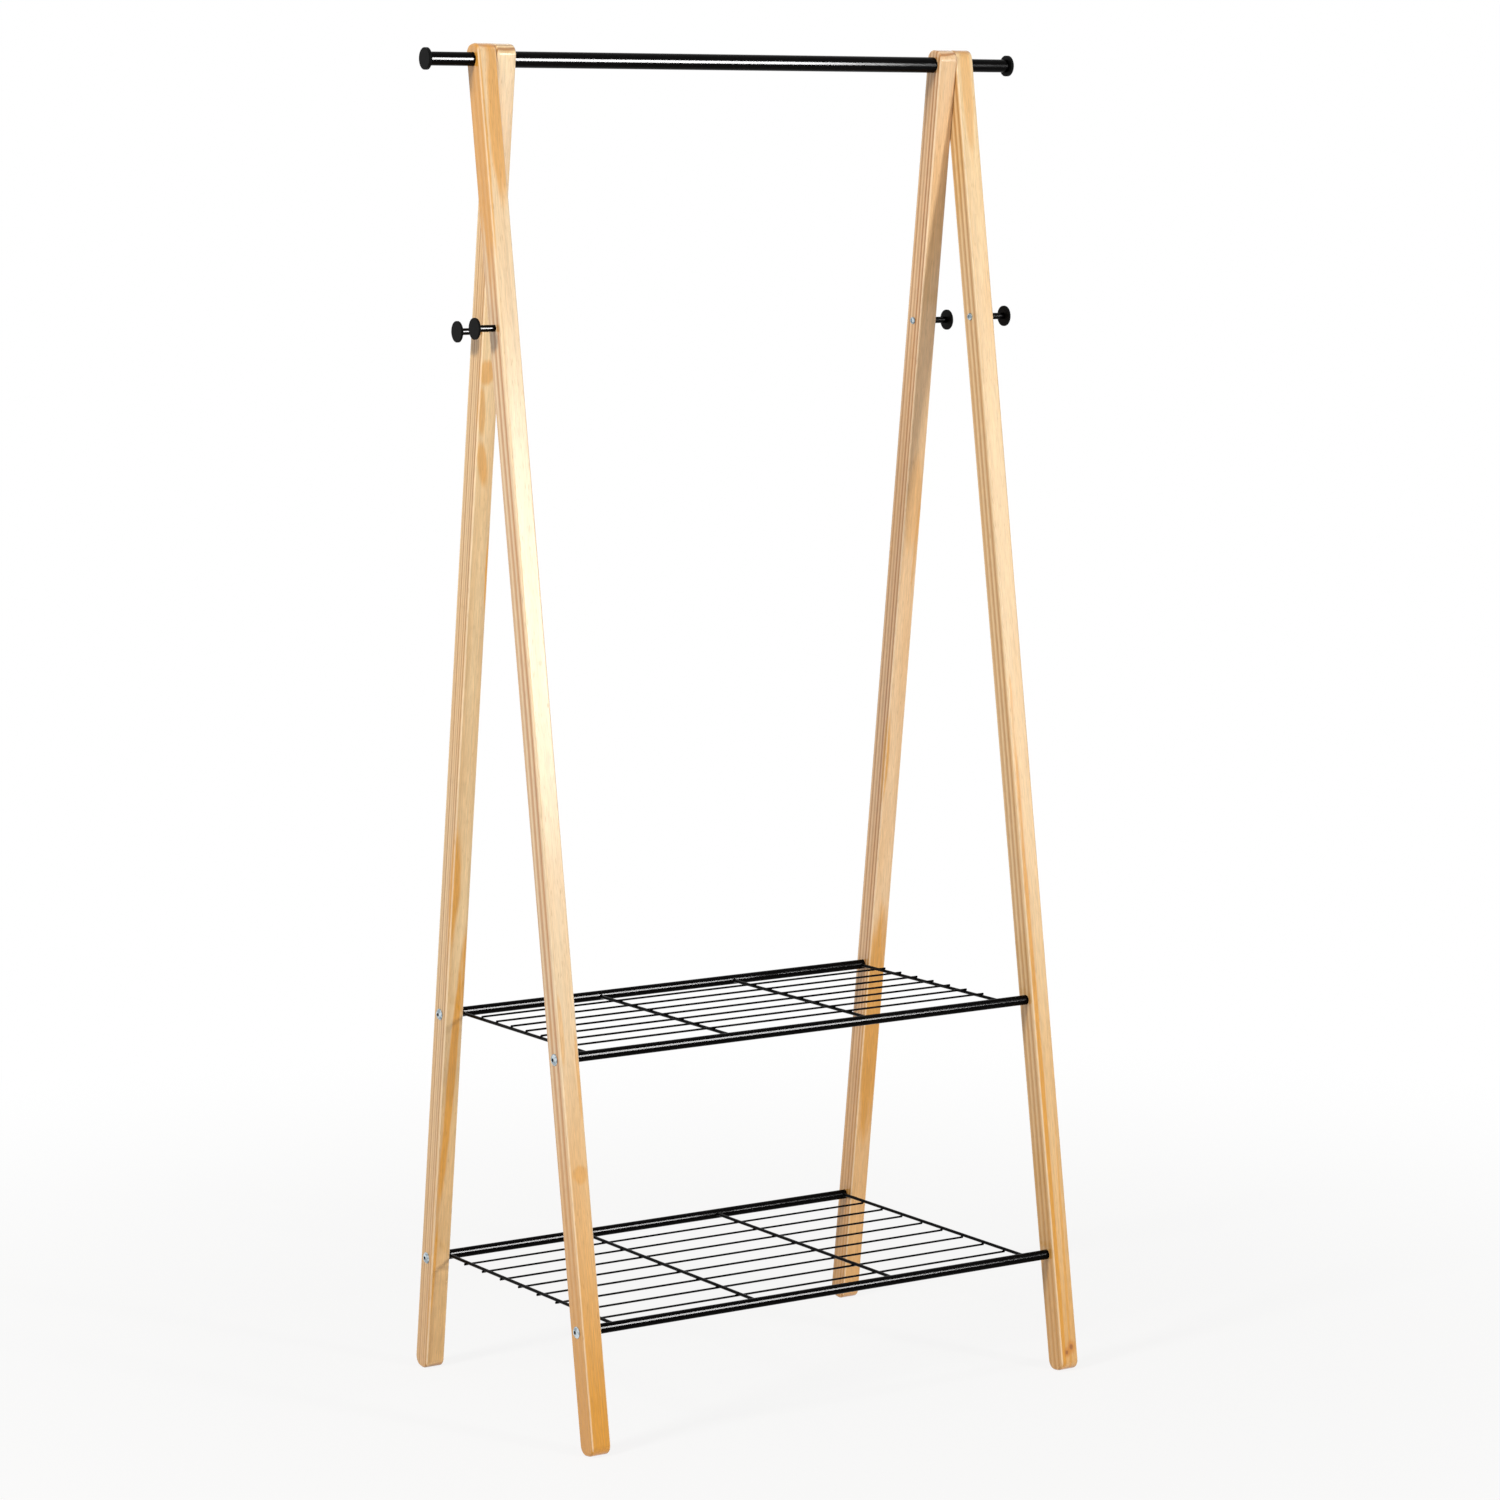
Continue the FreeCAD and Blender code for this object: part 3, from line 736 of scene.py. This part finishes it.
@dataclass
class WireShelf:
    """One shelf: two tubes and a deck of welded wires. Sizes are in millimetres and degrees."""

    level: Level
    long_wires: int
    cross_wires: int = 4
    tube_radius: float = 6.0
    cross_radius: float = 2.0
    collar_fit: float = 1.02
    collar_length: float = 2.2
    collar_foot: float = 0.1
    collar_flare: float = 1.55
    collar_sink: float = 0.6
    collar_sides: int = 20
    nugget_half: Point = (2.5, 2.0, 1.0)
    nugget_end: float = 0.8
    nugget_end_swell: Point = (1.25, 1.0, 0.7)
    smooth_angle: float = 50.0

    @property
    def prefix(self) -> str:
        """Start of the shelf's node names."""
        return self.level.name.lower()

    def middle(self, node: str) -> Vector:
        """Middle of a CAD node's box (m)."""
        low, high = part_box(node)
        return (low + high) / 2

    def bolt_finish(self) -> Material:
        """Zinc plate of the bolts, whose sockets lie on the tubes' axes."""
        tube = self.middle(f"{self.prefix}_back_tube")
        name = f"zinc_plated_{self.prefix}_bolts"
        return ZincPlate(name, socket_axis=(tube.y / MM, tube.z / MM)).material()

    def build(self) -> list[Piece]:
        """Model the welds: a flared collar at each wire end on a tube, a nugget at each crossing.

        Returns:
            The two weld pieces.
        """
        crosses = [self.middle(f"{self.prefix}_cross_wire_{n + 1}") for n in range(self.cross_wires)]
        longs = [self.middle(f"{self.prefix}_long_wire_{n + 1}") for n in range(self.long_wires)]
        ends = []
        for row in Row:
            tube = self.middle(f"{self.prefix}_{row.name.lower()}_tube")
            for wire in crosses:
                seat = Vector((wire.x, tube.y - row.value * self.tube_radius * MM, wire.z))
                turn = Matrix.Rotation(row.value * math.pi / 2, 4, "X")
                ends.append(Matrix.Translation(seat) @ turn)
        contact = [
            Matrix.Translation((wire.x, rod.y, wire.z + self.level.value * self.cross_radius * MM))
            for wire in crosses
            for rod in longs
        ]
        return [
            self.spread(self.collar(), ends, f"{self.prefix}_tube_welds"),
            self.spread(self.nugget(), contact, f"{self.prefix}_wire_welds"),
        ]

    def collar(self) -> Piece:
        """Model one fillet weld round a wire's end, flared towards -Z, where the tube is."""
        bpy.ops.object.select_all(action="DESELECT")
        bpy.ops.mesh.primitive_cylinder_add(
            vertices=self.collar_sides, radius=self.cross_radius * MM * self.collar_fit,
            depth=self.collar_length * MM, end_fill_type="NGON",
            location=(0.0, 0.0, self.collar_length * MM / 2),
        )
        piece = bpy.context.object
        bpy.ops.object.transform_apply(location=True, rotation=False, scale=False)
        bpy.ops.object.mode_set(mode="EDIT")
        bpy.ops.mesh.select_all(action="SELECT")
        bpy.ops.mesh.subdivide(number_cuts=1)
        bpy.ops.mesh.select_all(action="DESELECT")
        bpy.ops.object.mode_set(mode="OBJECT")
        for vertex in piece.data.vertices:
            vertex.select = vertex.co.z < self.collar_length * MM * self.collar_foot
        bpy.ops.object.mode_set(mode="EDIT")
        bpy.ops.transform.resize(value=(self.collar_flare, self.collar_flare, 1.0), center_override=(0, 0, 0))
        bpy.ops.transform.translate(value=(0.0, 0.0, -self.collar_sink * MM))
        bpy.ops.object.mode_set(mode="OBJECT")
        return self.smoothed(piece)

    def nugget(self) -> Piece:
        """Model one spot weld: a low pillow that swells out between two crossing wires."""
        bpy.ops.object.select_all(action="DESELECT")
        bpy.ops.mesh.primitive_ico_sphere_add(subdivisions=2, radius=MM)
        piece = bpy.context.object
        bpy.ops.object.mode_set(mode="EDIT")
        bpy.ops.mesh.select_all(action="SELECT")
        bpy.ops.transform.resize(value=self.nugget_half)
        bpy.ops.object.mode_set(mode="OBJECT")
        for vertex in piece.data.vertices:
            vertex.select = abs(vertex.co.y) > self.nugget_end * self.nugget_half[1] * MM
        bpy.ops.object.mode_set(mode="EDIT")
        bpy.ops.transform.resize(value=self.nugget_end_swell, center_override=(0, 0, 0))
        bpy.ops.object.mode_set(mode="OBJECT")
        return self.smoothed(piece)

    def smoothed(self, piece: Piece) -> Piece:
        """Shade a small piece smoothly and hand it back."""
        bpy.ops.object.shade_smooth_by_angle(angle=math.radians(self.smooth_angle))
        return piece

    def spread(self, piece: Piece, places: Sequence[Matrix], name: str) -> Piece:
        """Copy a piece to each place and join the copies.

        Args:
            piece: Piece modelled at the origin.
            places: Where each copy goes.
            name: Name of the joined piece.

        Returns:
            The joined piece, with its place in its mesh.
        """
        copies = [piece]
        for _ in places[1:]:
            copy = piece.copy()
            copy.data = piece.data.copy()
            bpy.context.scene.collection.objects.link(copy)
            copies.append(copy)
        bpy.ops.object.select_all(action="DESELECT")
        for copy, where in zip(copies, places):
            copy.data.transform(where)
            copy.select_set(True)
        bpy.context.view_layer.objects.active = piece
        bpy.ops.object.join()
        piece.name = name
        piece.data.name = name
        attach(piece, ROOT)
        return piece

    def dress(self, steel: Material, wire: Material, zinc: Material, welds: Sequence[Piece]) -> None:
        """Finish the tubes, wires, welds and fasteners.

        Args:
            steel: Finish of the tubes.
            wire: Finish of the wires and welds.
            zinc: Finish of the inserts.
            welds: Weld pieces.
        """
        for row in Row:
            dress(f"{self.prefix}_{row.name.lower()}_tube", steel)
        for number in range(1, self.cross_wires + 1):
            dress(f"{self.prefix}_cross_wire_{number}", wire)
        for number in range(1, self.long_wires + 1):
            dress(f"{self.prefix}_long_wire_{number}", wire)
        dress(f"{self.prefix}_shelf_bolts", self.bolt_finish())
        dress(f"{self.prefix}_tube_inserts", zinc)
        for weld in welds:
            weld.data.materials.clear()
            weld.data.materials.append(wire)
            log.info("%s: %s", weld.name, wire.name)


@dataclass(frozen=True)
class Lamp:
    """Rectangular soft lamp (m, W), which lights all pieces or those with one kind of finish."""

    name: str
    place: Point
    aim: Point
    width: float
    height: float
    watts: float
    rays: Rays
    lights_only: Optional[str] = None

    def hang(self) -> None:
        """Hang the lamp in its place, turned to what it lights and out of the camera's sight."""
        bpy.ops.object.light_add(type="AREA", location=self.place)
        lamp = bpy.context.object
        lamp.name = self.name
        lamp.rotation_euler = (Vector(self.aim) - Vector(self.place)).to_track_quat("-Z", "Y").to_euler()
        lamp.data.shape = "RECTANGLE"
        lamp.data.size = self.width
        lamp.data.size_y = self.height
        lamp.data.energy = self.watts
        lamp.visible_camera = False
        lamp.visible_diffuse = self.rays is Rays.MATTE
        lamp.visible_glossy = self.rays is Rays.GLOSS
        if self.lights_only:
            lit = bpy.data.collections.new(self.name)
            lamp.light_linking.receiver_collection = lit
            for piece in bpy.context.scene.objects:
                if any(slot.name.startswith(self.lights_only) for slot in piece.material_slots):
                    lit.objects.link(piece)
        log.info("%s: %.0f W", self.name, self.watts)


@dataclass
class Studio:
    """White studio: pale floor, dim room, two keys for tone and shadow, cards for the gloss (m)."""

    fill: float = 0.16
    overhead: float = 0.42
    room_tint: str = "#FFFDFA"
    white: str = "#FFFFFF"
    lamps: tuple[Lamp, ...] = (
        Lamp("key", (3.2, -8.1, 2.6), (0.0, -0.1, 1.0), 0.9, 1.2, 364.0, Rays.MATTE),
        Lamp("left_key", (-3.3, -0.7, 3.0), (0.0, -0.1, 0.9), 0.7, 0.7, 84.0, Rays.MATTE),
        Lamp("softbox", (2.75, -5.4, 1.9), (0.0, -0.1, 1.0), 1.2, 0.9, 51.0, Rays.GLOSS),
        Lamp("right_card", (4.2, -5.4, 1.95), (0.3, -0.1, 1.0), 0.9, 2.0, 22.0, Rays.GLOSS),
        Lamp("top_card", (1.8, -3.2, 0.72), (-0.3, 0.0, 1.55), 0.5, 0.3, 6.0, Rays.GLOSS, "pine_left_back"),
        Lamp("steel_gloss", (1.3, -2.75, 1.5), (-0.2, -0.1, 1.0), 1.2, 1.6, 2700.0, Rays.GLOSS,
             "black_powder"),
    )
    floor_size: float = 40.0
    floor_paint: str = "#D9D7D4"
    floor_white: float = 0.85
    shadow_start: float = 0.5
    shadow_reach: float = 2.2

    def light(self) -> None:
        """Set the world and the lamps."""
        world = bpy.data.worlds.new("white_room")
        bpy.context.scene.world = world
        world.use_nodes = True
        tree = world.node_tree
        tree.nodes.clear()
        direction = add_node(tree, "ShaderNodeTexCoord").outputs["Generated"]
        rise = add_node(tree, "ShaderNodeSeparateXYZ", {0: direction}).outputs["Z"]
        # The room is brighter overhead, as under a large ceiling panel
        level = mapped(tree, rise, 0.0, 1.0, self.fill, self.fill + self.overhead)
        room = add_node(tree, "ShaderNodeBackground", {"Color": linear(self.room_tint), "Strength": level})
        white = add_node(tree, "ShaderNodeBackground", {"Color": linear(self.white), "Strength": 1.0})
        mix = add_node(tree, "ShaderNodeMixShader", {
            0: self.seen(tree), 1: room.outputs[0], 2: white.outputs[0],
        })
        add_node(tree, "ShaderNodeOutputWorld", {"Surface": mix.outputs[0]})

        for lamp in self.lamps:
            lamp.hang()

    def seen(self, tree: Tree) -> Socket:
        """Tell the rays that see the background from the rays that gather light.

        Args:
            tree: Node tree to work in.

        Returns:
            1 for camera, glossy and transmission rays, otherwise 0.
        """
        path = add_node(tree, "ShaderNodeLightPath").outputs
        some = calc(tree, "MAXIMUM", path["Is Camera Ray"], path["Is Glossy Ray"])
        return calc(tree, "MAXIMUM", some, path["Is Transmission Ray"])

    def lay_floor(self) -> None:
        """Lay the floor: white paint that keeps the shadow near the rack and fades to plain white."""
        bpy.ops.object.select_all(action="DESELECT")
        bpy.ops.mesh.primitive_plane_add(size=self.floor_size)
        floor = bpy.context.object
        floor.name = "floor"
        material = bpy.data.materials.new("white_floor_paint")
        material.use_nodes = True
        tree = material.node_tree
        tree.nodes.clear()
        away = calc_vector(tree, "LENGTH", add_node(tree, "ShaderNodeTexCoord").outputs["Object"])
        fade = mapped(tree, away, self.shadow_start, self.shadow_reach, self.floor_white, 1.0, smooth=True)
        share = calc(tree, "MULTIPLY", self.seen(tree), fade)
        paint = add_node(tree, "ShaderNodeBsdfDiffuse", {"Color": linear(self.floor_paint)})
        white = add_node(tree, "ShaderNodeEmission", {"Color": linear(self.white), "Strength": 1.0})
        mix = add_node(tree, "ShaderNodeMixShader", {0: share, 1: paint.outputs[0], 2: white.outputs[0]})
        add_node(tree, "ShaderNodeOutputMaterial", {"Surface": mix.outputs[0]})
        floor.data.materials.append(material)
        log.info("floor: %s", material.name)


@dataclass
class Camera:
    """Camera at the photograph's place. Metres and degrees; the image is 1500 pixels square."""

    place: Point = (-2.79615, -4.44715, 1.44231)
    heading: float = 32.3855
    dip: float = 7.2549
    roll: float = -0.3631
    focal_pixels: float = 4344.15
    image_pixels: float = 1500.0

    def stand(self) -> None:
        """Put up the camera and make it the scene's."""
        bpy.ops.object.camera_add()
        camera = bpy.context.object
        camera.name = "camera"
        camera.data.lens = camera.data.sensor_width * self.focal_pixels / self.image_pixels
        turn = (
            Matrix.Rotation(-math.radians(self.heading), 4, "Z")
            @ Matrix.Rotation(math.radians(90.0 - self.dip), 4, "X")
            @ Matrix.Rotation(math.radians(self.roll), 4, "Z")
        )
        camera.matrix_world = Matrix.Translation(self.place) @ turn
        bpy.context.scene.camera = camera
        log.info("camera: %.1f mm", camera.data.lens)


def boards(side: Side) -> dict[Row, Pine]:
    """Choose the two boards of an A-frame, each with the figure that its leg shows.

    Args:
        side: End of the rack.

    Returns:
        The front and the back leg's board.
    """
    if side is Side.LEFT:
        return {
            Row.FRONT: Pine(
                "pine_left_front", -OUTER_LEG_X, -LEG_LEAN, pith_across=6.0, pith_depth=70.0, pith_lean=0.04,
                pith_sway=0.1, ring=9.5, seed=1.3, front_season=0.25, wander=8.0, foot_shade_amber=1.0,
                side_amber=0.0, early="#F2D6AA", late="#C08248", tongue_depth=45.0,
                tongues=(
                    Tongue(-12.5, 90.0, 5.0, 190.0, share=0.8), Tongue(4.0, 70.0, 12.0, 120.0),
                    Tongue(-9.0, 1125.0, 4.0, 45.0, share=0.4), Tongue(1.0, 1292.0, 12.0, 12.0, share=0.5),
                    Tongue(9.0, 1180.0, 2.5, 60.0, share=0.5),
                ),
            ),
            Row.BACK: Pine(
                "pine_left_back", -INNER_LEG_X, LEG_LEAN, pith_across=0.0, pith_depth=110.0, pith_lean=0.02,
                pith_sway=-0.1, ring=5.0, seed=2.7, wander=2.5, foot_shade_amber=0.35,
                side_amber=0.22, early="#F9DAA6", late="#9A5C20",
                tongues=(
                    Tongue(-2.0, 364.0, 14.0, 17.0, share=0.65), Tongue(-8.0, 412.0, 6.0, 34.0, -3.0, 0.6),
                    Tongue(-3.0, 474.0, 8.0, 34.0, -10.0, 0.65), Tongue(11.5, 605.0, 3.5, 60.0, share=0.9),
                    Tongue(-12.5, 988.0, 12.0, 90.0, share=0.85), Tongue(0.0, 1240.0, 6.5, 200.0, 2.5, 0.9),
                    Tongue(11.0, 1110.0, 4.0, 60.0), Tongue(-10.0, 1500.0, 3.0, 90.0, 2.0),
                ),
            ),
        }
    return {
        Row.FRONT: Pine(
            "pine_right_front", OUTER_LEG_X, -LEG_LEAN, pith_across=3.0, pith_depth=60.0, pith_lean=0.05,
            pith_sway=0.1, ring=8.5, seed=4.1, foot_shade_amber=0.5, late="#B67830",
            tongues=(
                Tongue(-8.0, 1320.0, 3.6, 620.0, share=0.95), Tongue(3.0, 1500.0, 2.4, 220.0, 1.0, 0.6),
                Tongue(0.0, 20.0, 9.0, 110.0, share=0.5),
            ),
            knots=(PinKnot(3.0, 1590.0, 3.0), PinKnot(-4.0, 1596.0, 2.2)),
        ),
        Row.BACK: Pine(
            "pine_right_back", INNER_LEG_X, LEG_LEAN, pith_across=-8.0, pith_depth=90.0, pith_lean=0.0,
            pith_sway=0.05, ring=6.5, seed=5.9, wander=1.5, foot_shade_amber=0.6, early="#F8D2A2", late="#AC6A30",
            tongues=(
                Tongue(-12.0, 880.0, 6.0, 65.0), Tongue(0.0, 1235.0, 18.0, 180.0, share=0.85),
                # The tongue at 545 mm is only a soft darker patch on the front face
                Tongue(8.0, 600.0, 2.5, 70.0, 2.0, 0.4), Tongue(0.0, 545.0, 14.0, 70.0, share=0.35),
            ),
        ),
    }


def main() -> None:
    """Build, dress and light the rack."""
    logging.basicConfig(level=logging.INFO, format="%(name)s %(message)s")
    bpy.context.scene.view_settings.view_transform = "Standard"
    steel = PowderCoat().material()
    tube = PowderCoat("black_powder_coat_tube", specular=0.015).material()
    wire = PowderCoat("black_coated_wire").material()
    plastic = MouldedPlastic().material()
    zinc = ZincPlate().material()
    for side in Side:
        AFrame(side, boards(side)).dress(steel, plastic)
    dress("peg_screws", zinc)
    HangingRail().dress(steel, plastic)
    for level, long_wires in ((Level.UPPER, 7), (Level.LOWER, 8)):
        shelf = WireShelf(level, long_wires)
        shelf.dress(tube, wire, zinc, shelf.build())
    studio = Studio()
    studio.light()
    studio.lay_floor()
    Camera().stand()


if __name__ == "__main__":
    main()
